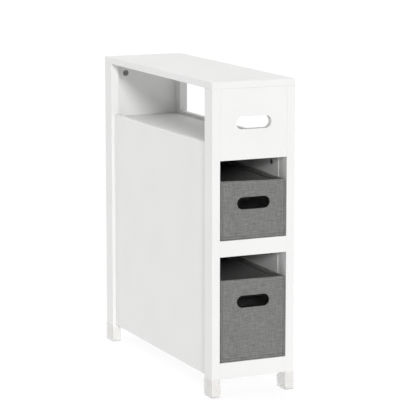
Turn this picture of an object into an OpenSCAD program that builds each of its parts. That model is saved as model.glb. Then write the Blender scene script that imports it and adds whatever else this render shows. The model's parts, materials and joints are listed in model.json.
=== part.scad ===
// Slim bathroom storage tower with an open roll compartment and two pull-out fabric baskets.
// Units are millimetres. +Z is up, the front faces -Y, and the feet stand on z = 0.

/* [Carcass] */
// Width of the carcass across the legs
carcass_w = 200; // [180:1:260]
// Depth of the carcass, front to back
carcass_d = 620; // [480:1:700]
// Height of the free space under the body
base_clear = 41; // [36:1:80]
// Height of the lower basket opening
lower_opening_h = 238; // [215:1:300]
// Height of the upper basket opening
upper_opening_h = 177; // [160:1:240]
// Height of the fixed front panel under the top
front_panel_h = 157; // [150:1:210]
// Radius of the eased edges on the boards
edge_r = 0.6; // [0.4:0.1:2]

/* [Boards] */
// Thickness of the top
top_t = 15; // [15:0.5:25]
// Width of a leg, seen from the front
leg_w = 19; // [18:0.5:26]
// Depth of a leg, seen from the side
leg_d = 40; // [36:1:60]
// Thickness of the side panels
side_t = 12; // [12:0.5:15]
// How far the side panels lie in from the outer faces of the legs
side_inset = 8; // [4:0.5:10]
// How far the side panels rise above the roll shelf
side_lip = 8; // [4:0.5:30]
// Thickness of the front panel and of the rails under it
front_t = 15; // [15:0.5:20]
// Thickness of the back panel
back_t = 15; // [15:0.5:20]
// Thickness of the shelves
shelf_t = 15; // [15:0.5:19]
// Height of the two front rails
rail_h = 36; // [34:1:50]
// Height of the roll shelf above the lower edge of the front panel
roll_shelf_up = 12; // [0:1:20]

/* [Handle slot] */
// Width of the slot in the front panel
handle_w = 85; // [60:1:88]
// Height of the slot in the front panel
handle_h = 28; // [20:1:36]
// Distance from the top down to the middle of the slot
handle_drop = 76; // [54:1:90]

/* [Baskets] */
// Free space between the back of a basket and the back panel
basket_back_gap = 24; // [2:1:150]
// Height of the upper basket
upper_basket_h = 130; // [90:1:150]
// Height of the lower basket
lower_basket_h = 184; // [90:1:205]
// Thickness of the stiffened fabric walls
basket_wall = 3.5; // [2:0.1:5]
// Thickness of the fabric floor
basket_floor_t = 2.5; // [1.5:0.1:4]
// Radius of the long bottom edges
basket_edge_r = 8; // [5.5:0.5:14]
// Radius of the upright corners
basket_corner_r = 5; // [3:0.5:10]
// Free space between a basket and each side panel
basket_side_gap = 1.5; // [0.5:0.1:4]
// How far the basket fronts lie behind the front faces of the legs
basket_setback = 1; // [0:0.5:5]
// Width of the basket grip slot, over its grommet
grip_w = 79; // [60:1:100]
// Height of the basket grip slot, over its grommet
grip_h = 27; // [20:1:32]
// Distance from the rim down to the middle of the grip slot
grip_drop = 50; // [30:1:60]
// Width of the grommet's flange
grommet_flange = 2; // [1.2:0.1:3]
// Thickness of the grommet's flange
grommet_flange_t = 0.9; // [0.6:0.1:1.5]
// Thickness of the grommet's barrel
grommet_barrel_t = 1.2; // [0.8:0.1:2]
// Thickness of the loose base board in each basket
base_board_t = 3; // [2:0.1:5]
// Free space round the loose base board
base_board_gap = 1.5; // [0.5:0.1:3]

/* [Foot caps] */
// Wall thickness of the foot caps
cap_wall = 1.5; // [1:0.1:2.5]
// Thickness of the sole under a leg
cap_sole = 3; // [2:0.1:5]
// Height of a foot cap
cap_h = 40; // [15:1:40]
// Free space between a foot cap and its leg
cap_gap = 0.15; // [0.1:0.05:0.3]
// Radius of the upright corners of a foot cap
cap_r = 2.8; // [1.5:0.1:4]

/* [Cam fixings] */
// Diameter of the cams in the 15 mm boards
cam_d = 15; // [12:0.5:15]
// Height of the cams in the 15 mm boards
cam_h = 12.5; // [12:0.1:13]
// Diameter of the cams in the side panels
side_cam_d = 12; // [10:0.5:14]
// Height of the cams in the side panels
side_cam_h = 10; // [9.8:0.1:10.5]
// Distance from a joint to the middle of its cam
cam_setback = 29; // [22:0.5:34]
// Distance from the top down to the middle of the cams that hold it
top_cam_setback = 19; // [18:0.5:30]
// Distance from a leg to the middle of a side panel's cam
side_cam_setback = 34; // [24:0.5:40]
// Thread diameter of the cam bolts
bolt_thread_d = 6; // [5:0.1:6.5]
// Length of thread in the board that a bolt is screwed into
bolt_thread_l = 9.5; // [8:0.1:10]
// Diameter of a bolt's shank
bolt_shank_d = 5; // [4:0.1:5]
// Diameter of a bolt's head
bolt_head_d = 6.6; // [6:0.1:7]
// Distance of the front and back panels' end cams from the top and from the shelf below them
cam_edge = 26; // [15:1:28]
// Height of the cam in a rail above the rail's lower edge
rail_cam_up = 10.5; // [10.5:0.1:11]
// Distance of the side panels' end cams from their upper and lower edges
side_cam_edge = 56; // [50:1:80]
// Distance of the shelf cams from the middle of the shelf
shelf_cam_y = 200; // [150:1:210]

/* [Dowels] */
// Diameter of the dowels in the legs and shelves
dowel_d = 8; // [6:0.1:8]
// Diameter of the dowels in the ends of the side panels
side_dowel_d = 6; // [5:0.1:6]
// Length of a dowel in the board that it enters end on
dowel_deep_l = 20; // [15:0.5:24]
// Length of a dowel in the face of the other board
dowel_face_l = 9; // [7:0.5:10]
// Distance of the dowels from the cams of the same joint
dowel_step = 22; // [20:1:24]
// Height of the dowel in a rail above the rail's lower edge
rail_dowel_up = 26.5; // [26:0.1:28]
// Distance of the shelf dowels from the middle of the shelf
shelf_dowel_y = 120; // [60:1:130]
// Free space round a bolt, dowel or cam in its hole, on the radius
fit_gap = 0.1; // [0.05:0.05:0.3]

/* [Hidden] */

round_fn = 48;
edge_fn = 24;
overlap = 1;
seat_gap = 0.3;
hole_end_gap = 0.5;

white = [0.95, 0.95, 0.94];
clear_plastic = [0.85, 0.83, 0.82, 0.45];
zinc = [0.62, 0.63, 0.65];
beech = [0.80, 0.66, 0.47];
grey_cloth = [0.42, 0.42, 0.42];
lining_cloth = [0.38, 0.38, 0.38];
black_plastic = [0.06, 0.06, 0.06];

half_w = carcass_w / 2;
half_d = carcass_d / 2;
leg_in_x = half_w - leg_w;
leg_in_y = half_d - leg_d;
leg_mid_x = half_w - leg_w / 2;
leg_mid_y = half_d - leg_d / 2;
side_out_x = half_w - side_inset;
side_in_x = side_out_x - side_t;
side_mid_x = side_out_x - side_t / 2;
clear_y0 = -half_d + front_t;
clear_y1 = half_d - back_t;
front_mid_y = -half_d + front_t / 2;
back_mid_y = half_d - back_t / 2;

bottom_rail_z = base_clear;
lower_floor_z = bottom_rail_z + rail_h;
middle_rail_z = lower_floor_z + lower_opening_h;
upper_floor_z = middle_rail_z + rail_h;
front_panel_z = upper_floor_z + upper_opening_h;
roll_floor_z = front_panel_z + roll_shelf_up + shelf_t;
side_top_z = roll_floor_z + side_lip;
top_z = front_panel_z + front_panel_h;

// A joint is [point on the joint face, direction into the cam's board, direction of the cam's mouth].
INWARD_FROM_FRONT = [0, 1, 0];
INWARD_FROM_BACK = [0, -1, 0];
DOWN = [0, 0, -1];

function end_joints(heights, y, mouth) =
    [for (side = [-1, 1]) for (z = heights) [[side * leg_in_x, y, z], [-side, 0, 0], mouth]];

function shelf_joints(floor_z, offset) =
    [for (side = [-1, 1]) for (end = [-1, 1])
        [[side * side_in_x, end * offset, floor_z - shelf_t / 2], [-side, 0, 0], DOWN]];

function side_joints(side, heights) =
    [for (end = [-1, 1]) for (z = heights)
        [[side * side_mid_x, end * leg_in_y, z], [0, -end, 0], [-side, 0, 0]]];

front_cam_z = [roll_floor_z + cam_edge, top_z - cam_edge];
back_cam_z = [lower_floor_z + cam_edge, (base_clear + top_z) / 2, top_z - cam_edge];
side_cam_z = [base_clear + side_cam_edge, (base_clear + side_top_z) / 2, side_top_z - side_cam_edge];

front_panel_cam_joints = end_joints(front_cam_z, front_mid_y, INWARD_FROM_FRONT);
back_panel_cam_joints = end_joints(back_cam_z, back_mid_y, INWARD_FROM_BACK);
middle_rail_cam_joints = end_joints([middle_rail_z + rail_cam_up], front_mid_y, INWARD_FROM_FRONT);
bottom_rail_cam_joints = end_joints([bottom_rail_z + rail_cam_up], front_mid_y, INWARD_FROM_FRONT);
front_panel_dowel_joints = end_joints(
    [front_cam_z[0] + dowel_step, front_cam_z[1] - dowel_step], front_mid_y, INWARD_FROM_FRONT);
back_panel_dowel_joints = end_joints(
    [for (i = [0:2]) back_cam_z[i] + (i == 2 ? -dowel_step : dowel_step)], back_mid_y, INWARD_FROM_BACK);
middle_rail_dowel_joints = end_joints([middle_rail_z + rail_dowel_up], front_mid_y, INWARD_FROM_FRONT);
bottom_rail_dowel_joints = end_joints([bottom_rail_z + rail_dowel_up], front_mid_y, INWARD_FROM_FRONT);

end_cam_joints = concat(front_panel_cam_joints, back_panel_cam_joints,
    middle_rail_cam_joints, bottom_rail_cam_joints);
end_dowel_joints = concat(front_panel_dowel_joints, back_panel_dowel_joints,
    middle_rail_dowel_joints, bottom_rail_dowel_joints);

shelf_floors = [roll_floor_z, upper_floor_z, lower_floor_z];
shelf_cam_joints = [for (z = shelf_floors) each shelf_joints(z, shelf_cam_y)];
shelf_dowel_joints = [for (z = shelf_floors) each shelf_joints(z, shelf_dowel_y)];

side_dowel_z = [side_cam_z[0] - dowel_step, side_cam_z[1] - dowel_step, side_cam_z[2] + dowel_step];

top_cam_joints = [
    [[0, front_mid_y, top_z], DOWN, INWARD_FROM_FRONT],
    [[0, back_mid_y, top_z], DOWN, INWARD_FROM_BACK]
];
top_dowel_joints = [for (x = [-1, 1]) for (y = [-1, 1])
    [[x * leg_mid_x, y * leg_mid_y, top_z], DOWN, INWARD_FROM_FRONT]];

basket_w = 2 * (side_in_x - basket_side_gap);
basket_y0 = -half_d + basket_setback;
basket_l = clear_y1 - basket_back_gap - basket_y0;
upper_basket_z = upper_floor_z + seat_gap;
lower_basket_z = lower_floor_z + seat_gap;
barrel_w = grip_w - 2 * grommet_flange;
barrel_h = grip_h - 2 * grommet_flange;

// ---- Flat outlines ----

// A rectangle with round corners, whose lower left corner is at the origin.
module round_rect(w, h, r) {
    translate([r, 0])
        square([w - 2 * r, h]);
    translate([0, r])
        square([w, h - 2 * r]);
    for (x = [r, w - r])
        for (y = [r, h - r])
            translate([x, y])
                circle(r = r, $fn = edge_fn);
}

// A slot with half-round ends, centred on the origin.
module slot_outline(w, h) {
    square([w - h, h], center = true);
    for (side = [-1, 1])
        translate([side * (w - h) / 2, 0])
            circle(d = h, $fn = round_fn);
}

// A slot that runs along Y, centred at height 0.
module slot_bar(w, h, y0, y1) {
    translate([0, y1, 0])
        rotate([90, 0, 0])
            linear_extrude(y1 - y0)
                slot_outline(w, h);
}

// ---- Rounded blocks ----

// A block with its own edge radius round each direction, from its lowest corner.
module eased_block(size, rx, ry, rz) {
    intersection() {
        linear_extrude(size.z)
            round_rect(size.x, size.y, rz);
        translate([0, size.y, 0])
            rotate([90, 0, 0])
                linear_extrude(size.y)
                    round_rect(size.x, size.z, ry);
        rotate([90, 0, 90])
            linear_extrude(size.x)
                round_rect(size.y, size.z, rx);
    }
}

// A board between two corners, with eased edges.
module board(low, high) {
    translate(low)
        eased_block(high - low, edge_r, edge_r, edge_r);
}

// ---- Fixings, drawn in the frame of their joint: +Z into the cam's board, +Y out of its mouth ----

module at_joint(joint) {
    into = joint[1];
    mouth = joint[2];
    side = cross(mouth, into);
    multmatrix([
        [side.x, mouth.x, into.x, joint[0].x],
        [side.y, mouth.y, into.y, joint[0].y],
        [side.z, mouth.z, into.z, joint[0].z],
        [0, 0, 0, 1]
    ])
        children();
}

// A cylinder along Y between two heights.
module y_cylinder(d, y0, y1) {
    translate([0, y1, 0])
        rotate([90, 0, 0])
            cylinder(d = d, h = y1 - y0, $fn = round_fn);
}

// A cam of a board of thickness t: a drum with an entry for the bolt's head and a cross recess.
module cam(d, h, t, setback) {
    recess_w = 1.4;
    recess_l = d * 0.5;
    recess_deep = 2;
    face_y = t / 2;
    translate([0, 0, setback])
        difference() {
            y_cylinder(d - 2 * fit_gap, face_y - h + fit_gap, face_y);
            translate([0, 0, -d])
                cylinder(d = bolt_head_d + 4 * fit_gap, h = d + bolt_head_d / 2, $fn = round_fn);
            for (turn = [0, 90])
                translate([0, face_y, 0])
                    rotate([0, 45 + turn, 0])
                        cube([recess_l, 2 * recess_deep, recess_w], center = true);
        }
}

// The pocket and the bolt channel that a cam's board needs.
module cam_cut(d, h, t, setback) {
    translate([0, 0, setback])
        y_cylinder(d, t / 2 - h, t / 2 + overlap);
    translate([0, 0, -overlap])
        cylinder(d = bolt_head_d + 4 * fit_gap, h = setback + overlap, $fn = round_fn);
}

// A bolt: thread, collar, shank, neck and head, as one turned profile.
module cam_bolt(setback) {
    neck_d = bolt_shank_d * 0.6;
    neck_l = 3.2;
    head_l = 2.4;
    tip = 1;
    neck_z = setback + head_l / 2 - head_l - neck_l;
    rotate_extrude($fn = round_fn)
        polygon([
            [0, -bolt_thread_l],
            [bolt_thread_d / 2 - tip, -bolt_thread_l],
            [bolt_thread_d / 2, -bolt_thread_l + tip],
            [bolt_thread_d / 2, 0],
            [bolt_shank_d / 2, tip],
            [bolt_shank_d / 2, neck_z],
            [neck_d / 2, neck_z + tip],
            [neck_d / 2, neck_z + neck_l],
            [bolt_head_d / 2, neck_z + neck_l],
            [bolt_head_d / 2, neck_z + neck_l + head_l - tip],
            [bolt_head_d / 2 - tip, neck_z + neck_l + head_l],
            [0, neck_z + neck_l + head_l]
        ]);
}

module bolt_hole() {
    translate([0, 0, -bolt_thread_l - hole_end_gap])
        cylinder(d = bolt_thread_d + 2 * fit_gap, h = bolt_thread_l + hole_end_gap + overlap, $fn = round_fn);
}

// A dowel with chamfered ends.
module dowel(d) {
    chamfer = 1;
    rotate_extrude($fn = round_fn)
        polygon([
            [0, -dowel_face_l],
            [d / 2 - chamfer, -dowel_face_l],
            [d / 2, -dowel_face_l + chamfer],
            [d / 2, dowel_deep_l - chamfer],
            [d / 2 - chamfer, dowel_deep_l],
            [0, dowel_deep_l]
        ]);
}

module dowel_hole(d) {
    translate([0, 0, -dowel_face_l - hole_end_gap])
        cylinder(d = d + 2 * fit_gap, h = dowel_face_l + dowel_deep_l + 2 * hole_end_gap, $fn = round_fn);
}

module cams_at(joints, d, h, t, setback)
    for (joint = joints)
        at_joint(joint)
            cam(d, h, t, setback);

module cam_cuts_at(joints, d, h, t, setback)
    for (joint = joints)
        at_joint(joint)
            cam_cut(d, h, t, setback);

module bolts_at(joints, setback)
    for (joint = joints)
        at_joint(joint)
            cam_bolt(setback);

module bolt_holes_at(joints)
    for (joint = joints)
        at_joint(joint)
            bolt_hole();

module dowels_at(joints, d)
    for (joint = joints)
        at_joint(joint)
            dowel(d);

module dowel_holes_at(joints, d)
    for (joint = joints)
        at_joint(joint)
            dowel_hole(d);

// ---- Carcass ----

module top_panel() {
    color(white)
        difference() {
            board([-half_w, -half_d, top_z], [half_w, half_d, top_z + top_t]);
            bolt_holes_at(top_cam_joints);
            dowel_holes_at(top_dowel_joints, dowel_d);
        }
}

// The leg on the given side (-1 left, 1 right) and at the given end (-1 front, 1 back).
module leg(side, end) {
    low = [side > 0 ? leg_in_x : -half_w, end > 0 ? leg_in_y : -half_d, cap_sole];
    panel_joints = side_joints(side, side_cam_z);
    panel_dowel_joints = side_joints(side, side_dowel_z);
    color(white)
        difference() {
            board(low, [low.x + leg_w, low.y + leg_d, top_z]);
            bolt_holes_at([for (j = end_cam_joints) if (j[0].x * side > 0 && j[0].y * end > 0) j]);
            dowel_holes_at([for (j = end_dowel_joints) if (j[0].x * side > 0 && j[0].y * end > 0) j], dowel_d);
            bolt_holes_at([for (j = panel_joints) if (j[0].y * end > 0) j]);
            dowel_holes_at([for (j = panel_dowel_joints) if (j[0].y * end > 0) j], side_dowel_d);
            dowel_holes_at([for (j = top_dowel_joints) if (j[0].x * side > 0 && j[0].y * end > 0) j], dowel_d);
        }
}

module side_panel(side) {
    x0 = side > 0 ? side_in_x : -side_out_x;
    color(white)
        difference() {
            board([x0, -leg_in_y, base_clear], [x0 + side_t, leg_in_y, side_top_z]);
            cam_cuts_at(side_joints(side, side_cam_z), side_cam_d, side_cam_h, side_t, side_cam_setback);
            dowel_holes_at(side_joints(side, side_dowel_z), side_dowel_d);
            bolt_holes_at([for (j = shelf_cam_joints) if (j[0].x * side > 0) j]);
            dowel_holes_at([for (j = shelf_dowel_joints) if (j[0].x * side > 0) j], dowel_d);
        }
}

module front_panel() {
    color(white)
        difference() {
            board([-leg_in_x, -half_d, front_panel_z], [leg_in_x, clear_y0, top_z]);
            translate([0, 0, top_z - handle_drop])
                slot_bar(handle_w, handle_h, -half_d - overlap, clear_y0 + overlap);
            cam_cuts_at(front_panel_cam_joints, cam_d, cam_h, front_t, cam_setback);
            cam_cuts_at([top_cam_joints[0]], cam_d, cam_h, front_t, top_cam_setback);
            dowel_holes_at(front_panel_dowel_joints, dowel_d);
        }
}

module back_panel() {
    color(white)
        difference() {
            board([-leg_in_x, clear_y1, base_clear], [leg_in_x, half_d, top_z]);
            cam_cuts_at(back_panel_cam_joints, cam_d, cam_h, back_t, cam_setback);
            cam_cuts_at([top_cam_joints[1]], cam_d, cam_h, back_t, top_cam_setback);
            dowel_holes_at(back_panel_dowel_joints, dowel_d);
        }
}

module rail(z, cam_joints, dowel_joints) {
    color(white)
        difference() {
            board([-leg_in_x, -half_d, z], [leg_in_x, clear_y0, z + rail_h]);
            cam_cuts_at(cam_joints, cam_d, cam_h, front_t, cam_setback);
            dowel_holes_at(dowel_joints, dowel_d);
        }
}

module middle_rail() {
    rail(middle_rail_z, middle_rail_cam_joints, middle_rail_dowel_joints);
}

module bottom_rail() {
    rail(bottom_rail_z, bottom_rail_cam_joints, bottom_rail_dowel_joints);
}

module shelf(floor_z) {
    color(white)
        difference() {
            board([-side_in_x, clear_y0, floor_z - shelf_t], [side_in_x, clear_y1, floor_z]);
            cam_cuts_at(shelf_joints(floor_z, shelf_cam_y), cam_d, cam_h, shelf_t, cam_setback);
            dowel_holes_at(shelf_joints(floor_z, shelf_dowel_y), dowel_d);
        }
}

// ---- Foot caps ----

// A clear cap that wraps a leg's end: thin walls, rounded corners and a sole under the leg.
module foot_cap(side, end) {
    reach = cap_wall + cap_gap;
    low = [side > 0 ? leg_in_x : -half_w, end > 0 ? leg_in_y : -half_d, 0];
    inner_r = edge_r + cap_gap;
    color(clear_plastic)
        translate(low)
            difference() {
                translate([-reach, -reach, 0])
                    linear_extrude(cap_h)
                        round_rect(leg_w + 2 * reach, leg_d + 2 * reach, cap_r);
                translate([-cap_gap, -cap_gap, cap_sole])
                    linear_extrude(cap_h)
                        round_rect(leg_w + 2 * cap_gap, leg_d + 2 * cap_gap, inner_r);
            }
}

// ---- Baskets ----

// The fabric box: rounded outside, open at the top, with the grip slot through its front wall.
module basket_body(floor_z, h) {
    inner_edge_r = basket_edge_r - basket_wall;
    inner_corner_r = max(basket_corner_r - basket_wall, 1);
    color(grey_cloth)
        difference() {
            basket_block([basket_w, basket_l, h], floor_z, 0, basket_edge_r, basket_corner_r);
            basket_block([basket_w, basket_l, h], floor_z, basket_wall, inner_edge_r, inner_corner_r);
            translate([0, 0, floor_z + h - grip_drop])
                slot_bar(barrel_w + 2 * fit_gap, barrel_h + 2 * fit_gap,
                    basket_y0 - overlap, basket_y0 + basket_wall + overlap);
        }
}

// The outer form of a basket, or with an inset its hollow, which runs out of the top.
module basket_block(size, floor_z, inset, bottom_r, corner_r) {
    floor_up = inset > 0 ? basket_floor_t : 0;
    tall = size.z - floor_up + bottom_r + (inset > 0 ? overlap : 0);
    low = [-size.x / 2 + inset, basket_y0 + inset, floor_z + floor_up];
    intersection() {
        translate(low)
            eased_block([size.x - 2 * inset, size.y - 2 * inset, tall], bottom_r, bottom_r, corner_r);
        translate([-size.x, basket_y0 - overlap, floor_z - overlap])
            cube([2 * size.x, size.y + 2 * overlap, size.z + overlap + (inset > 0 ? overlap : 0)]);
    }
}

// The loose stiff board on a basket's floor.
module basket_base_board(floor_z) {
    inset = basket_wall + base_board_gap;
    corner = basket_edge_r - basket_wall;
    color(lining_cloth)
        translate([-basket_w / 2 + inset + corner, basket_y0 + inset + corner, floor_z + basket_floor_t])
            linear_extrude(base_board_t)
                round_rect(basket_w - 2 * (inset + corner), basket_l - 2 * (inset + corner), corner);
}

// The slot's grommet: a flange on each side of the front wall, joined by a barrel.
module basket_grommet(floor_z, h) {
    out_y = basket_y0 - grommet_flange_t;
    in_y = basket_y0 + basket_wall + grommet_flange_t;
    color(black_plastic)
        translate([0, 0, floor_z + h - grip_drop])
            difference() {
                union() {
                    slot_bar(grip_w, grip_h, out_y, basket_y0);
                    slot_bar(barrel_w, barrel_h, out_y, in_y);
                    slot_bar(grip_w, grip_h, basket_y0 + basket_wall, in_y);
                }
                slot_bar(barrel_w - 2 * grommet_barrel_t, barrel_h - 2 * grommet_barrel_t,
                    out_y - overlap, in_y + overlap);
            }
}

// ---- The pieces ----

top_panel();
leg(-1, -1);  // front_left_leg
leg(1, -1);  // front_right_leg
leg(-1, 1);  // back_left_leg
leg(1, 1);  // back_right_leg
side_panel(-1);  // left_side_panel
side_panel(1);  // right_side_panel
front_panel();
back_panel();
shelf(roll_floor_z);  // roll_shelf
shelf(upper_floor_z);  // middle_shelf
shelf(lower_floor_z);  // bottom_shelf
middle_rail();
bottom_rail();
foot_cap(-1, -1);  // front_left_foot_cap
foot_cap(1, -1);  // front_right_foot_cap
foot_cap(-1, 1);  // back_left_foot_cap
foot_cap(1, 1);  // back_right_foot_cap
color(zinc) {  // panel_cams
        cams_at(end_cam_joints, cam_d, cam_h, front_t, cam_setback);
        cams_at(top_cam_joints, cam_d, cam_h, front_t, top_cam_setback);
    }
color(zinc)  // shelf_cams
        cams_at(shelf_cam_joints, cam_d, cam_h, shelf_t, cam_setback);
color(zinc)  // side_panel_cams
        for (side = [-1, 1])
            cams_at(side_joints(side, side_cam_z), side_cam_d, side_cam_h, side_t, side_cam_setback);
color(zinc)  // panel_cam_bolts
        bolts_at(end_cam_joints, cam_setback);
color(zinc)  // shelf_cam_bolts
        bolts_at(shelf_cam_joints, cam_setback);
color(zinc)  // side_panel_cam_bolts
        for (side = [-1, 1])
            bolts_at(side_joints(side, side_cam_z), side_cam_setback);
color(zinc)  // top_cam_bolts
        bolts_at(top_cam_joints, top_cam_setback);
color(beech)  // leg_dowels
        dowels_at(end_dowel_joints, dowel_d);
color(beech)  // side_panel_dowels
        for (side = [-1, 1])
            dowels_at(side_joints(side, side_dowel_z), side_dowel_d);
color(beech)  // shelf_dowels
        dowels_at(shelf_dowel_joints, dowel_d);
color(beech)  // top_dowels
        dowels_at(top_dowel_joints, dowel_d);
basket_body(upper_basket_z, upper_basket_h);  // upper_basket_body
basket_base_board(upper_basket_z);  // upper_basket_base_board
basket_grommet(upper_basket_z, upper_basket_h);  // upper_basket_grommet
basket_body(lower_basket_z, lower_basket_h);  // lower_basket_body
basket_base_board(lower_basket_z);  // lower_basket_base_board
basket_grommet(lower_basket_z, lower_basket_h);  // lower_basket_grommet
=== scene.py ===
"""Slim bathroom storage tower: its finishes, fabric baskets, lights and camera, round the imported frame."""

import json
import math

import bmesh
import bpy
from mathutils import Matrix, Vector, noise


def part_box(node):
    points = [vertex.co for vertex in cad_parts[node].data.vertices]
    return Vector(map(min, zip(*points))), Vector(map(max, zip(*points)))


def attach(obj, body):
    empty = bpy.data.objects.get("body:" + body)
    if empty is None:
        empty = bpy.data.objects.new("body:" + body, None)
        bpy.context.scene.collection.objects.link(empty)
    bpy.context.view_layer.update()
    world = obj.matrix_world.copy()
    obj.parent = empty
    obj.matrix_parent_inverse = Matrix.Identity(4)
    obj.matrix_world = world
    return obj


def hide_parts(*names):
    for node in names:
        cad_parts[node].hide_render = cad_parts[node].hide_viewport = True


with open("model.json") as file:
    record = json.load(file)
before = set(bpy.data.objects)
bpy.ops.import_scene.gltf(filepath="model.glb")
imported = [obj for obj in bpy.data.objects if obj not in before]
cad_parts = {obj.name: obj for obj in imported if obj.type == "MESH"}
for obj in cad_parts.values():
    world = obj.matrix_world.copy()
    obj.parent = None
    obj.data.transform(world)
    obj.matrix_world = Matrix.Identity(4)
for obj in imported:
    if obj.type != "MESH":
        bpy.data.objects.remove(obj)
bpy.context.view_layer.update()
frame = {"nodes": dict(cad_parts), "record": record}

MM = 0.001

# ---- Basket sizes, in millimetres ----

# Walls and floor
WALL = 3.5  # cloth, board and lining together
FLOOR_THICK = 2.5
BOTTOM_RADIUS = 4.5  # outer rounding from the walls to the underside
CORNER_RADIUS = 2.5  # outer rounding of the upright corners
LEAST_RADIUS = 0.4  # least rounding of a corner on the inside
WALL_STEP = 5.0  # between rows of points up the walls
ALONG_X, ALONG_Y = 4.0, 7.0  # between points around the walls, along x and y

# Hem, turned in over the rim
HEM_HEIGHT = 10.0
HEM_THICK = 0.8  # how far it stands proud of the lining
HEM_TOP, HEM_STEP = 1.0, 1.5  # its first row of points under the rim's rounding, and the next ones
HEM_EDGE_IN, HEM_EDGE_HEIGHT = 0.3, 0.4  # easing of its lower edge
HEM_GROOVE = 1.9  # depth of the groove under its edge
GROOVE_HEIGHT = 3.0
GROOVE_FOOT = (0.4, 3.8)  # where the lining bends out of the groove: out from it, and below the hem
LINING_TOP, LINING_FROM = 4.4, 7.0  # below the hem: where the lining lies flat, and its first row of points
LINING_FOOT = 3.0  # its last row of points, above the rounding to the floor
RIM_STEPS = 10  # steps of the rim's rounding

# Seams and stitches
CORNER_SEAM = 4.4  # from the sides' ends
BOTTOM_SEAM = 8.4  # above the underside
RIM_STITCH = 4.5  # below the rim
STITCH_IN = 2.8  # from the seams
STITCH_LENGTH = 2.6
STITCH_STEP = 3.6
STITCH_RADIUS = 0.3
STITCH_SIDES = 6
STITCH_PROUD = 0.1  # how far a stitch's ends stand out from the cloth
# Along a stitch: the share of its length, and its roundness there as a share of its radius
STITCH_PROFILE = ((0.0, 0.35), (0.16, 0.85), (0.5, 1.0), (0.84, 0.85), (1.0, 0.35))

# Slack of the cloth: its depth, its waves for each millimetre along x, y and up, and where they start
SLACK = (0.4, (0.018, 0.011, 0.024), (7.1, 0.0, 3.7))
RIPPLE = (0.1, (0.09, 0.09, 0.09), (0.0, 5.3, 0.0))
RIM_RIPPLE = (0.35, (0.03, 0.02, 0.0), (0.0, 0.0, 1.7))
RIM_FADE = 55.0  # the rim's own rise or fall holds this far from the front, and is gone at twice as far
SLOT_FIRM = 6.0  # the cloth is firm at the grommet, and slack from this far on

# Folds along a line: how far they stand out, their distance from the line, and half their width
SEAM_FOLD = (-1.2, 0.0, 0.95)
SEAM_SWELL = (0.3, 2.4, 1.0)
RIM_STITCH_FOLD = (-0.35, 0.0, 0.8)
GROMMET_SWELL = (0.35, 3.2, 2.2)
FACING = 0.9  # least part of a normal along an axis where a wall faces along it

# Grommet
GROMMET_FLANGE = 2.0  # width of a flange over the cloth
GROMMET_BARREL = 1.2  # thickness of the barrel in the slot
# Easing of a flange at its inner and its outer edge: in from the edge, and below the face
FLANGE_INNER = ((0.0, 0.55), (0.12, 0.25), (0.4, 0.06), (0.9, 0.0))
FLANGE_OUTER = ((0.9, 0.0), (0.4, 0.12), (0.1, 0.4))
CUT_PAST = 5.0  # how far the slot's cutter reaches past the wall

# Base board
BOARD_EASE = 1.0  # rounding of its edges
BOARD_ALONG_X, BOARD_ALONG_Y = 9.0, 12.0  # between points around it, along x and y
BOARD_RINGS = (6.0, 16.0, 30.0, 46.0)  # rings of points on its top, from its edge


# ---- Finishes ----


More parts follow.
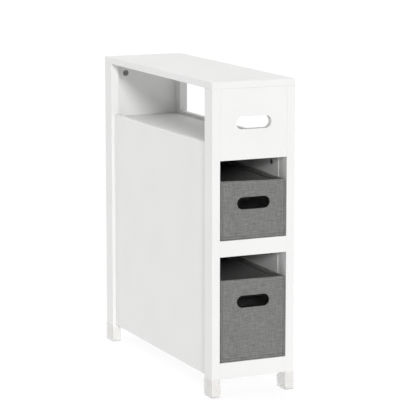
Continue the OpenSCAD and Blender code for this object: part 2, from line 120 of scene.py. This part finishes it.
class Finish:
    """A material under construction, with short ways to add nodes and join them to its shader."""

    def __init__(self, name, color, roughness, metallic=0.0):
        self.material = bpy.data.materials.new(name)
        self.material.use_nodes = True
        self.tree = self.material.node_tree
        self.shader = self.tree.nodes["Principled BSDF"]
        self.set(self.shader, {"Base Color": (*color, 1.0), "Roughness": roughness, "Metallic": metallic})

    def set(self, node, values):
        for name, value in values.items():
            node.inputs[name].default_value = value

    def add(self, kind, values=None, **settings):
        node = self.tree.nodes.new(kind)
        for name, value in settings.items():
            setattr(node, name, value)
        self.set(node, values or {})
        return node

    def join(self, source, target):
        self.tree.links.new(source, target)

    def places(self, kind="Object", stretch=(1.0, 1.0, 1.0)):
        """Texture coordinates of the given kind, multiplied by stretch along each axis."""
        source = self.add("ShaderNodeTexCoord").outputs[kind]
        mapping = self.add("ShaderNodeMapping", {"Scale": stretch})
        self.join(source, mapping.inputs["Vector"])
        return mapping.outputs["Vector"]

    def noise(self, places, scale, detail=2.0, roughness=0.5):
        node = self.add("ShaderNodeTexNoise", {"Scale": scale, "Detail": detail, "Roughness": roughness})
        self.join(places, node.inputs["Vector"])
        return node.outputs["Fac"]

    def wave(self, places, direction, scale, distortion=0.0):
        node = self.add(
            "ShaderNodeTexWave",
            {"Scale": scale, "Distortion": distortion, "Detail": 1.0},
            wave_type="BANDS",
            bands_direction=direction,
        )
        self.join(places, node.inputs["Vector"])
        return node.outputs["Fac"]

    def math(self, operation, first, second):
        node = self.add("ShaderNodeMath", operation=operation)
        for socket, value in zip(node.inputs, (first, second)):
            if isinstance(value, (int, float)):
                socket.default_value = value
            else:
                self.join(value, socket)
        return node.outputs["Value"]

    def color(self, factor, dark, light, start=0.0, end=1.0):
        """The colour goes from dark where factor is start to light where it is end."""
        ramp = self.add("ShaderNodeValToRGB")
        ramp.color_ramp.elements[0].position = start
        ramp.color_ramp.elements[0].color = (*dark, 1.0)
        ramp.color_ramp.elements[1].position = end
        ramp.color_ramp.elements[1].color = (*light, 1.0)
        self.join(factor, ramp.inputs["Fac"])
        self.join(ramp.outputs["Color"], self.shader.inputs["Base Color"])

    def rough(self, factor, low, high):
        """The roughness goes from low where factor is 0 to high where it is 1."""
        node = self.add("ShaderNodeMapRange", {"To Min": low, "To Max": high})
        self.join(factor, node.inputs["Value"])
        self.join(node.outputs["Result"], self.shader.inputs["Roughness"])

    def bump(self, *layers):
        """Each layer is (height, depth in millimetres), the first one lowest."""
        normal = None
        for height, depth in layers:
            node = self.add("ShaderNodeBump", {"Strength": 1.0, "Distance": depth * MM})
            self.join(height, node.inputs["Height"])
            if normal:
                self.join(normal, node.inputs["Normal"])
            normal = node.outputs["Normal"]
        self.join(normal, self.shader.inputs["Normal"])


def white_lacquer():
    """Satin lacquer with slight orange peel."""
    finish = Finish("white_lacquer", (0.71, 0.71, 0.704), roughness=0.4)
    finish.set(finish.shader, {"Specular IOR Level": 0.25})
    places = finish.places()
    cloudy = finish.noise(places, scale=9.0, detail=3.0)
    orange_peel = finish.noise(places, scale=520.0)
    dust = finish.noise(places, scale=2400.0)
    finish.color(cloudy, (0.7, 0.7, 0.694), (0.72, 0.72, 0.714), start=0.3, end=0.7)
    finish.rough(finish.noise(places, scale=60.0, detail=3.0), low=0.34, high=0.46)
    finish.bump((orange_peel, 0.06), (dust, 0.01))
    return finish.material


def clear_plastic():
    """Clear caps with level scuffs, and painted shade on their lowest few millimetres: a near-black band
    standing in for the dark outline that the clear walls show along the floor.
    """
    clear, painted_edge_shade = (0.965, 0.93, 0.9), (0.1, 0.0985, 0.096)
    darkest_cm, clear_cm = 0.2, 0.32
    finish = Finish("clear_plastic", clear, roughness=0.08)
    finish.set(finish.shader, {"IOR": 1.46, "Transmission Weight": 1.0, "Alpha": 0.27})
    in_cm = finish.add("ShaderNodeSeparateXYZ")
    finish.join(finish.places(stretch=(100.0, 100.0, 100.0)), in_cm.inputs["Vector"])
    # painted shade: near black at the caps' bottom, clearing between darkest_cm and clear_cm above the floor
    finish.color(in_cm.outputs["Z"], painted_edge_shade, clear, start=darkest_cm, end=clear_cm)
    scuffs = finish.noise(finish.places(stretch=(1.0, 1.0, 6.0)), scale=90.0, detail=4.0)
    finish.rough(scuffs, low=0.06, high=0.2)
    finish.bump((finish.noise(finish.places(), scale=45.0), 0.12))
    return finish.material


def die_cast_zinc():
    finish = Finish("die_cast_zinc", (0.36, 0.36, 0.355), roughness=0.5, metallic=1.0)
    places = finish.places()
    stains = finish.noise(places, scale=260.0, detail=4.0)
    finish.color(stains, (0.16, 0.16, 0.157), (0.31, 0.31, 0.305), start=0.3, end=0.75)
    finish.rough(finish.noise(places, scale=420.0, detail=3.0), low=0.38, high=0.62)
    finish.bump((finish.noise(places, scale=2600.0, detail=3.0), 0.06))
    return finish.material


def zinc_plated_steel():
    finish = Finish("zinc_plated_steel", (0.62, 0.62, 0.6), roughness=0.32, metallic=1.0)
    places = finish.places()
    stains = finish.noise(places, scale=180.0, detail=3.0)
    finish.color(stains, (0.5, 0.5, 0.47), (0.7, 0.7, 0.68), start=0.3, end=0.7)
    finish.rough(finish.noise(places, scale=900.0, detail=3.0), low=0.24, high=0.42)
    finish.bump((finish.noise(places, scale=3200.0), 0.03))
    return finish.material


def beech():
    """Its grain runs along x."""
    finish = Finish("beech", (0.6, 0.4, 0.23), roughness=0.6)
    grain = finish.noise(finish.places(stretch=(1.0, 8.0, 8.0)), scale=110.0, detail=4.0, roughness=0.6)
    finish.color(grain, (0.45, 0.28, 0.15), (0.66, 0.46, 0.28), start=0.3, end=0.7)
    finish.rough(grain, low=0.5, high=0.7)
    finish.bump((grain, 0.12))
    return finish.material


def black_plastic():
    finish = Finish("black_plastic", (0.004, 0.004, 0.004), roughness=0.5)
    finish.set(finish.shader, {"Specular IOR Level": 0.06})
    places = finish.places()
    finish.rough(finish.noise(places, scale=300.0, detail=3.0), low=0.4, high=0.6)
    finish.bump((finish.noise(places, scale=1500.0), 0.04))
    return finish.material


def woven_cloth():
    """Melange plain weave. Its UV map is in metres, along the wall and up the wall."""
    unit = 0.0009  # in metres, which puts the threads 0.57 mm apart
    slubs_along, slubs_across = 45.0, 420.0
    weft_share, warp_share, weave_share, contrast = 1.12, 0.88, 0.25, 0.45
    finish = Finish("woven_cloth", (0.18, 0.18, 0.178), roughness=0.92)
    finish.set(finish.shader, {"Sheen Weight": 0.12, "Sheen Roughness": 0.5, "Specular IOR Level": 0.2})
    threads = finish.places("UV", (1 / unit, 1 / unit, 1.0))
    warp = finish.wave(threads, "X", scale=0.5, distortion=0.6)
    weft = finish.wave(threads, "Y", scale=0.5, distortion=0.6)
    weave = finish.math("MULTIPLY", warp, weft)
    slubs = []
    for stretch, share in (
        ((slubs_along, slubs_across, 1.0), weft_share),
        ((slubs_across, slubs_along, 1.0), warp_share),
    ):
        uneven = finish.noise(finish.places("UV", stretch), scale=1.0, detail=3.0, roughness=0.6)
        slubs.append(finish.math("MULTIPLY", uneven, share))
    both = finish.math("ADD", *slubs)
    shade = finish.math("ADD", both, finish.math("MULTIPLY", weave, weave_share))
    dark, light = (0.1, 0.1, 0.0965), (0.315, 0.315, 0.304)
    finish.color(finish.math("MULTIPLY", shade, contrast), dark, light, start=0.28, end=0.745)
    finish.bump((both, 0.12), (weave, 0.3))
    return finish.material


def nonwoven_lining():
    finish = Finish("nonwoven_lining", (0.2, 0.2, 0.198), roughness=0.95)
    finish.set(finish.shader, {"Specular IOR Level": 0.15})
    fibres = finish.noise(finish.places(), scale=700.0, detail=5.0, roughness=0.7)
    finish.color(fibres, (0.16, 0.16, 0.159), (0.24, 0.24, 0.237), start=0.35, end=0.65)
    finish.bump((fibres, 0.2))
    return finish.material


def sewing_thread():
    finish = Finish("sewing_thread", (0.34, 0.34, 0.335), roughness=0.7)
    twist = finish.wave(finish.places(), "DIAGONAL", scale=900.0)
    finish.color(twist, (0.26, 0.26, 0.256), (0.42, 0.42, 0.414))
    finish.bump((twist, 0.1))
    return finish.material


FINISHES = {
    "white_board": white_lacquer(),
    "clear_cap": clear_plastic(),
    "cam_metal": die_cast_zinc(),
    "bolt_steel": zinc_plated_steel(),
    "dowel_wood": beech(),
    "grommet_plastic": black_plastic(),
    "basket_fabric": woven_cloth(),
    "basket_lining": nonwoven_lining(),
}
THREAD = sewing_thread()


def finish_cad_nodes():
    """Gives every CAD node the finish of its slot in the record."""
    for part in frame["record"]["subparts"]:
        node = frame["nodes"][part["node"]]
        node.data.materials.clear()
        node.data.materials.append(FINISHES[part["material_slot"]])


# ---- Outlines and sweeps, in millimetres ----


def spread(start, end, step):
    """Evenly spaced values from start to end, both included, about step apart."""
    count = max(1, round(abs(end - start) / step))
    return [start + (end - start) * i / count for i in range(count + 1)]


def with_seam(stops, seam, reach=2.7, step=0.45):
    """stops in ascending order, with closely set ones in place of those near a seam."""
    near = [s for s in spread(seam - reach, seam + reach, step) if stops[0] < s < stops[-1]]
    far = [s for s in stops[1:-1] if abs(s - seam) > reach + step]
    return sorted([stops[0], stops[-1]] + far + near)


def arc(centre, radius, start_deg, end_deg, steps):
    """Points of a flat arc, both its ends included."""
    angles = [math.radians(start_deg + (end_deg - start_deg) * i / steps) for i in range(steps + 1)]
    return [(centre[0] + radius * math.cos(a), centre[1] + radius * math.sin(a)) for a in angles]


def running_length(points):
    """The length along a chain of points, at each of them."""
    lengths = [0.0]
    for here, there in zip(points, points[1:]):
        lengths.append(lengths[-1] + math.hypot(there[0] - here[0], there[1] - here[1]))
    return lengths


def slot_outline(straight, radius, up, steps):
    """A slot with half-round ends, whose centres are straight apart, as (x, z) points."""
    points = []
    for side, start_deg in ((1, -90), (-1, 90)):
        points += arc((side * straight / 2, up), radius, start_deg, start_deg + 180, steps)
    return points


def round_outline(width, length, corner_radius, inset, along_x, along_y, corner_steps=6):
    """A rectangle with round corners, drawn in by inset, as (x, y, normal x, normal y) points.

    It starts at the front left. along_x and along_y are the places of the points on the straight sides, the
    same for every inset.
    """
    radius = max(corner_radius - inset, LEAST_RADIUS)
    half_x, half_y = width / 2 - inset, length / 2 - inset
    reach_x = (half_x - radius) / (width / 2 - corner_radius)
    reach_y = (half_y - radius) / (length / 2 - corner_radius)
    sides = [
        [(x * reach_x, -half_y, 0.0, -1.0) for x in along_x],
        [(half_x, y * reach_y, 1.0, 0.0) for y in along_y],
        [(x * reach_x, half_y, 0.0, 1.0) for x in reversed(along_x)],
        [(-half_x, y * reach_y, -1.0, 0.0) for y in reversed(along_y)],
    ]
    corners = [(1, -1), (1, 1), (-1, 1), (-1, -1)]
    points = []
    for turn, (side, (sx, sy)) in enumerate(zip(sides, corners)):
        points += side
        for i in range(1, corner_steps):
            angle = math.radians(-90 + 90 * turn + 90 * i / corner_steps)
            nx, ny = math.cos(angle), math.sin(angle)
            centre = sx * (half_x - radius), sy * (half_y - radius)
            points.append((centre[0] + radius * nx, centre[1] + radius * ny, nx, ny))
    return points


def skin(bm, rings):
    """Joins each ring of points to the next by quads, and returns them, ring by ring."""
    faces = []
    for near, far in zip(rings, rings[1:]):
        for i in range(len(near)):
            j = (i + 1) % len(near)
            faces.append(bm.faces.new((near[i], near[j], far[j], far[i])))
    return faces


def close_ends(bm, rings):
    """Closes the first and the last ring, and returns the two faces."""
    return bm.faces.new(list(reversed(rings[0]))), bm.faces.new(rings[-1])


def mesh_from(bm, name):
    mesh = bpy.data.meshes.new(name)
    bm.to_mesh(mesh)
    bm.free()
    return mesh


def smooth_mesh(bm, name, angle_deg):
    """The finished mesh of bm, in metres, smooth but for edges sharper than the angle."""
    bmesh.ops.recalc_face_normals(bm, faces=bm.faces)
    for face in bm.faces:
        face.smooth = True
    for edge in bm.edges:
        if len(edge.link_faces) == 2 and edge.calc_face_angle() > math.radians(angle_deg):
            edge.smooth = False
    bmesh.ops.scale(bm, vec=(MM, MM, MM), verts=bm.verts)
    return mesh_from(bm, name)


def add_object(name, data):
    added = bpy.data.objects.new(name, data)
    bpy.context.scene.collection.objects.link(added)
    return added


def new_piece(mesh, body, materials):
    """A shown piece, named as its mesh, on a body and with the given materials."""
    piece = add_object(mesh.name, mesh)
    for material in materials:
        mesh.materials.append(material)
    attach(piece, body)
    return piece


# ---- Fabric baskets ----


def slack(x, y, up, depth, waves, start):
    """How far the cloth stands out at a place, by smooth noise."""
    place = (x * waves[0] + start[0], y * waves[1] + start[1], up * waves[2] + start[2])
    return depth * noise.noise(Vector(place))


def fold(distance, height, at, half_width):
    """How far a fold stands out at a distance from its line."""
    return height * math.exp(-(((distance - at) / half_width) ** 2))


class Basket:
    """One basket's sizes, read from its CAD nodes, and the soft surface that its cloth follows.

    rim_left and rim_right say how far the rim rises above its level at the two ends of the front.
    """

    def __init__(self, level, rim_left, rim_right):
        self.body = level + "_basket"
        self.rim_left = rim_left
        self.rim_right = rim_right
        low, high = (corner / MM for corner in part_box(self.body + "_body"))
        self.width, self.length, self.height = high - low
        self.middle = (low + high) / 2
        self.floor = low.z
        self.front = low.y
        slot_low, slot_high = (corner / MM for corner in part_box(self.body + "_grommet"))
        self.slot_width = slot_high.x - slot_low.x
        self.slot_height = slot_high.z - slot_low.z
        self.slot_up = (slot_low.z + slot_high.z) / 2 - self.floor
        self.slot_out = slot_low.y
        self.slot_in = slot_high.y

    def from_slot(self, x, up):
        """Distance from the grommet's outer edge."""
        straight = (self.slot_width - self.slot_height) / 2
        return math.hypot(max(abs(x) - straight, 0.0), up - self.slot_up) - self.slot_height / 2

    def seam_distances(self, x, y, up, normal):
        """Distances to the seams that the outer wall has near a point."""
        found = [abs(up - BOTTOM_SEAM)]
        if abs(normal[1]) > FACING:
            found.append(abs(abs(x) - (self.width / 2 - CORNER_SEAM)))
        if abs(normal[0]) > FACING:
            found.append(abs(abs(y) - (self.length / 2 - CORNER_SEAM)))
        return found

    def swell(self, x, y, up, normal, outside):
        """How far the cloth stands out from the flat wall, with its seams drawn in."""
        if not 0 < up < self.height:
            return 0.0
        stand = slack(x, y, up, *SLACK) + slack(x, y, up, *RIPPLE)
        if outside:
            for distance in self.seam_distances(x, y, up, normal):
                stand += fold(distance, *SEAM_FOLD)
                stand += fold(distance, *SEAM_SWELL)
            stand += fold(self.height - RIM_STITCH - up, *RIM_STITCH_FOLD)
            if normal[1] < -FACING:
                gap = self.from_slot(x, up)
                stand *= min(1.0, max(0.0, gap / SLOT_FIRM))
                stand += fold(gap, *GROMMET_SWELL)
        return stand

    def rim_shift(self, x, y, up):
        """How far the rim stands above or below its level, and in part what is under it."""
        behind = y - (self.front - self.middle.y)
        share = min(1.0, max(0.0, (behind - RIM_FADE) / RIM_FADE))
        near_front = 1.0 - share * share * (3.0 - 2.0 * share)
        across = 0.5 + x / self.width
        shift = self.rim_left + (self.rim_right - self.rim_left) * across
        return (shift * near_front + slack(x, y, up, *RIM_RIPPLE)) * (up / self.height) ** 3

    def place(self, x, y, up, normal, outside=True):
        """A point of the wall's flat form, moved to where the soft cloth lies."""
        stand = self.swell(x, y, up, normal, outside)
        side = 1.0 if outside else -1.0
        return Vector((
            x + normal[0] * stand * side + self.middle.x,
            y + normal[1] * stand * side + self.middle.y,
            up + self.rim_shift(x, y, up) + self.floor,
        ))


def wall_section(height):
    """The wall's section as (inset, height, outside), from the underside over the rim to the inner floor."""
    rim_radius = (WALL + HEM_THICK) / 2
    inner_radius = BOTTOM_RADIUS - WALL
    hem_in, hem_edge = 2 * rim_radius, height - HEM_HEIGHT
    lining_foot = FLOOR_THICK + inner_radius + LINING_FOOT
    groove = WALL - HEM_GROOVE
    foot_out, foot_down = GROOVE_FOOT
    heights = with_seam(spread(BOTTOM_RADIUS, height - rim_radius, WALL_STEP), BOTTOM_SEAM)
    heights = with_seam(heights, height - RIM_STITCH)[1:-1]
    under = arc((BOTTOM_RADIUS, BOTTOM_RADIUS), BOTTOM_RADIUS, 270, 180, steps=8)
    outer = [(0.0, h) for h in heights]
    rim = arc((rim_radius, height - rim_radius), rim_radius, 180, 0, RIM_STEPS)
    over = RIM_STEPS // 2 + 1
    hem_rows = spread(rim_radius + HEM_TOP, HEM_HEIGHT - HEM_EDGE_HEIGHT, HEM_STEP)
    hem = [(hem_in, height - h) for h in hem_rows]
    tuck = [(hem_in - HEM_EDGE_IN, hem_edge), (groove, hem_edge), (groove, hem_edge - GROOVE_HEIGHT)]
    tuck += [(groove + foot_out, hem_edge - foot_down), (WALL, hem_edge - LINING_TOP)]
    inner = [(WALL, h) for h in spread(hem_edge - LINING_FROM, lining_foot, WALL_STEP)]
    foot = arc((WALL + inner_radius, FLOOR_THICK + inner_radius), inner_radius, 180, 270, steps=6)
    outside = [(i, h, True) for i, h in under + outer + rim[:over]]
    return outside + [(i, h, False) for i, h in rim[over:] + hem + tuck + inner + foot]


def side_stops(size, step):
    """Places of the points along a side, closer together at the seams beside its corners."""
    reach = size / 2 - CORNER_RADIUS
    seam = size / 2 - CORNER_SEAM
    return with_seam(with_seam(spread(-reach, reach, step), seam), -seam)


def basket_shell(basket):
    """The sewn fabric box: outer cloth, rolled rim, turned-in hem and lining, as one closed shell."""
    along_x, along_y = side_stops(basket.width, ALONG_X), side_stops(basket.length, ALONG_Y)
    section = wall_section(basket.height)
    bm = bmesh.new()
    cloth = bm.loops.layers.uv.new("cloth")
    rings = []
    for inset, up, outside in section:
        outline = round_outline(basket.width, basket.length, CORNER_RADIUS, inset, along_x, along_y)
        rings.append([bm.verts.new(basket.place(x, y, up, (nx, ny), outside)) for x, y, nx, ny in outline])
    outline = round_outline(basket.width, basket.length, CORNER_RADIUS, 0.0, along_x, along_y)
    around = [length * MM for length in running_length(outline + outline[:1])]
    upward = [length * MM for length in running_length(section)]
    lining_from = next(
        row for row, (inset, up, outside) in enumerate(section)
        if not outside and up < basket.height - HEM_HEIGHT
    )
    for number, face in enumerate(skin(bm, rings)):
        row, i = divmod(number, len(outline))
        face.material_index = 1 if row >= lining_from else 0
        corners = ((i, row), (i + 1, row), (i + 1, row + 1), (i, row + 1))
        for loop, (a, b) in zip(face.loops, corners):
            loop[cloth].uv = (around[a], upward[b])
    underside, inner_floor = close_ends(bm, rings)
    underside.material_index = 0
    inner_floor.material_index = 1
    return smooth_mesh(bm, basket.body + "_shell", angle_deg=55.0)


def slot_cutter(basket):
    """A bar with half-round sides that cuts the grip slot through the front wall."""
    width = basket.slot_width - 2 * GROMMET_FLANGE
    height = basket.slot_height - 2 * GROMMET_FLANGE
    outline = slot_outline(width - height, height / 2, basket.slot_up + basket.floor, steps=16)
    bm = bmesh.new()
    rings = []
    for y in (basket.front - CUT_PAST, basket.front + WALL + CUT_PAST):
        rings.append([bm.verts.new((x * MM, y * MM, z * MM)) for x, z in outline])
    skin(bm, rings)
    close_ends(bm, rings)
    bmesh.ops.recalc_face_normals(bm, faces=bm.faces)
    return add_object("slot_cutter", mesh_from(bm, "slot_cutter"))


def cut_slot(shell, basket):
    """Cuts the grip slot and keeps the result as the piece's own mesh."""
    cutter = slot_cutter(basket)
    cut = shell.modifiers.new("slot", "BOOLEAN")
    cut.operation = "DIFFERENCE"
    cut.solver = "EXACT"
    cut.object = cutter
    graph = bpy.context.evaluated_depsgraph_get()
    whole = shell.data
    shell.data = bpy.data.meshes.new_from_object(shell.evaluated_get(graph))
    shell.data.name = whole.name
    shell.modifiers.clear()
    bpy.data.meshes.remove(whole)
    bpy.data.objects.remove(cutter)


def grommet(basket):
    """The slot's plastic edging: a flange on each side of the wall, joined by a barrel."""
    flange_thick = basket.front - basket.slot_out
    reach = GROMMET_FLANGE + GROMMET_BARREL
    half = list(FLANGE_INNER) + [(reach - near, under) for near, under in FLANGE_OUTER]
    half += [(reach, flange_thick), (GROMMET_BARREL, flange_thick)]
    section = [(offset, basket.slot_out + under) for offset, under in half]
    section += [(offset, basket.slot_in - under) for offset, under in reversed(half)]
    inner_width = basket.slot_width - 2 * reach
    inner_height = basket.slot_height - 2 * reach
    middle_z = basket.slot_up + basket.floor
    bm = bmesh.new()
    rings = []
    for offset, y in section:
        outline = slot_outline(inner_width - inner_height, inner_height / 2 + offset, middle_z, steps=20)
        rings.append([bm.verts.new((x, y, z)) for x, z in outline])
    skin(bm, rings + rings[:1])
    return smooth_mesh(bm, basket.body + "_grommet_ring", angle_deg=50.0)


def seam_paths(basket):
    """Each row of stitches on the outer cloth: its two ends as (x, y, up), and the normal there."""
    half_x, half_y = basket.width / 2, basket.length / 2
    low, high = BOTTOM_SEAM + STITCH_IN, basket.height - RIM_STITCH
    in_x, in_y = half_x - CORNER_SEAM - STITCH_IN, half_y - CORNER_SEAM - STITCH_IN
    level_rows = ((low, in_x, in_y), (high, half_x - CORNER_RADIUS, half_y - CORNER_RADIUS))
    paths = []
    for side in (-1, 1):
        for up, reach_x, reach_y in level_rows:
            paths.append(((-reach_x, side * half_y, up), (reach_x, side * half_y, up), (0.0, side)))
            paths.append(((side * half_x, -reach_y, up), (side * half_x, reach_y, up), (side, 0.0)))
        for at in (-1, 1):
            paths.append(((at * in_x, side * half_y, low), (at * in_x, side * half_y, high), (0.0, side)))
            paths.append(((side * half_x, at * in_y, low), (side * half_x, at * in_y, high), (side, 0.0)))
    return paths


def stitch(bm, tail, head, out):
    """One rounded length of thread from tail to head, bowed outwards."""
    run = head - tail
    across = run.cross(out).normalized()
    rings = []
    for share, size in STITCH_PROFILE:
        bow = math.sin(math.pi * share) * STITCH_RADIUS
        centre = tail + run * share + out * (bow + STITCH_PROUD)
        ring = []
        for k in range(STITCH_SIDES):
            angle = 2 * math.pi * k / STITCH_SIDES
            spoke = across * math.cos(angle) + out * math.sin(angle)
            ring.append(bm.verts.new(centre + spoke * STITCH_RADIUS * size))
        rings.append(ring)
    skin(bm, rings)
    close_ends(bm, rings)


def stitching(basket):
    """The sewing thread along the seams."""
    bm = bmesh.new()
    for first, last, normal in seam_paths(basket):
        first, last = Vector(first), Vector(last)
        length = (last - first).length
        along = (last - first) / length
        count = int(length / STITCH_STEP)
        for index in range(count):
            start = first + along * ((index + 0.5) * length / count - STITCH_LENGTH / 2)
            tail = basket.place(*start, normal)
            head = basket.place(*(start + along * STITCH_LENGTH), normal)
            stitch(bm, tail, head, Vector((*normal, 0.0)))
    return smooth_mesh(bm, basket.body + "_stitching", angle_deg=60.0)


def covered_board(basket):
    """The loose board on the basket's floor, with its covering rounded over the edges."""
    low, high = (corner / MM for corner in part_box(basket.body + "_base_board"))
    width, length, thick = high - low
    corner_radius = BOTTOM_RADIUS - WALL
    along_x = spread(corner_radius - width / 2, width / 2 - corner_radius, BOARD_ALONG_X)
    along_y = spread(corner_radius - length / 2, length / 2 - corner_radius, BOARD_ALONG_Y)
    section = arc((BOARD_EASE, BOARD_EASE), BOARD_EASE, 270, 180, steps=4)
    section += arc((BOARD_EASE, thick - BOARD_EASE), BOARD_EASE, 180, 90, steps=4)
    section += [(inset, thick) for inset in BOARD_RINGS]
    centre = (low + high) / 2
    bm = bmesh.new()
    rings = []
    for inset, up in section:
        outline = round_outline(width, length, corner_radius, inset, along_x, along_y, corner_steps=5)
        rings.append([bm.verts.new((x + centre.x, y + centre.y, up + low.z)) for x, y, nx, ny in outline])
    skin(bm, rings)
    close_ends(bm, rings)
    return smooth_mesh(bm, basket.body + "_floor_board", angle_deg=60.0)


def build_basket(basket):
    """The basket's shown pieces. Each takes its CAD node's place, but for the stitches, which have none."""
    cloth, lining = FINISHES["basket_fabric"], FINISHES["basket_lining"]
    shell = new_piece(basket_shell(basket), basket.body, [cloth, lining])
    cut_slot(shell, basket)
    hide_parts(basket.body + "_body")
    board = new_piece(covered_board(basket), basket.body, [lining])
    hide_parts(basket.body + "_base_board")
    ring = new_piece(grommet(basket), basket.body, [FINISHES["grommet_plastic"]])
    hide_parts(basket.body + "_grommet")
    new_piece(stitching(basket), basket.body, [THREAD])


# ---- Stage, light and camera ----


def pale_floor():
    """A large plain disc that glows, so that the ground stays white behind the tower."""
    radius, sides, drop = 30.0, 96, 0.0002
    bm = bmesh.new()
    rim = []
    for i in range(sides):
        angle = 2 * math.pi * i / sides
        rim.append(bm.verts.new((radius * math.cos(angle), radius * math.sin(angle), -drop)))
    bm.faces.new(rim)
    finish = Finish("pale_floor", (0.1, 0.1, 0.1), roughness=0.9)
    glow = {"Specular IOR Level": 0.0, "Emission Color": (1.0, 1.0, 1.0, 1.0), "Emission Strength": 0.9}
    finish.set(finish.shader, glow)
    floor = add_object("floor", mesh_from(bm, "floor"))
    floor.data.materials.append(finish.material)


def soft_light(name, left_deg, up_deg, spread_deg, strength):
    """A far, wide lamp: left_deg to the left of the front, up_deg above the floor."""
    lamp = bpy.data.lights.new(name, "SUN")
    lamp.angle = math.radians(spread_deg)
    lamp.energy = strength
    light = add_object(name, lamp)
    light.rotation_euler = (math.radians(90 - up_deg), 0.0, math.radians(-left_deg))


def white_surroundings(horizon, zenith, zenith_from=0.45):
    """A studio that is brightest at the horizon, and darkest from a given sine of the height on."""
    world = bpy.data.worlds.new("studio")
    world.use_nodes = True
    tree = world.node_tree
    background = tree.nodes["Background"]
    background.inputs["Color"].default_value = (1.0, 1.0, 1.0, 1.0)
    direction = tree.nodes.new("ShaderNodeTexCoord").outputs["Generated"]
    split = tree.nodes.new("ShaderNodeSeparateXYZ")
    fade = tree.nodes.new("ShaderNodeMapRange")
    fade.inputs["From Max"].default_value = zenith_from
    fade.inputs["To Min"].default_value = horizon
    fade.inputs["To Max"].default_value = zenith
    tree.links.new(direction, split.inputs["Vector"])
    tree.links.new(split.outputs["Z"], fade.inputs["Value"])
    tree.links.new(fade.outputs["Result"], background.inputs["Strength"])
    bpy.context.scene.world = world


def camera():
    """The photographed view: from the front left, a little above the top."""
    at = (-1.92629, -4.26122, 1.19619)
    yaw_deg, pitch_deg = 24.4585, 9.7998
    frame_px, focal_px = 400, 2035.82
    data = bpy.data.cameras.new("camera")
    data.sensor_width = 36.0
    data.lens = data.sensor_width * focal_px / frame_px
    data.clip_end = 60.0
    view = add_object("camera", data)
    view.location = at
    view.rotation_euler = (math.radians(90 - pitch_deg), 0.0, math.radians(-yaw_deg))
    bpy.context.scene.camera = view


finish_cad_nodes()
build_basket(Basket("upper", rim_left=1.4, rim_right=-2.6))
build_basket(Basket("lower", rim_left=1.1, rim_right=-0.7))
pale_floor()
white_surroundings(horizon=1.0, zenith=0.1)
soft_light("key", left_deg=15.0, up_deg=17.8, spread_deg=11.0, strength=1.94)
soft_light("top_left", left_deg=90.0, up_deg=55.0, spread_deg=40.0, strength=0.84)
soft_light("top_right", left_deg=-90.0, up_deg=55.0, spread_deg=40.0, strength=0.6)
soft_light("top_back", left_deg=180.0, up_deg=60.0, spread_deg=60.0, strength=1.95)
camera()
bpy.context.scene.view_settings.view_transform = "Standard"
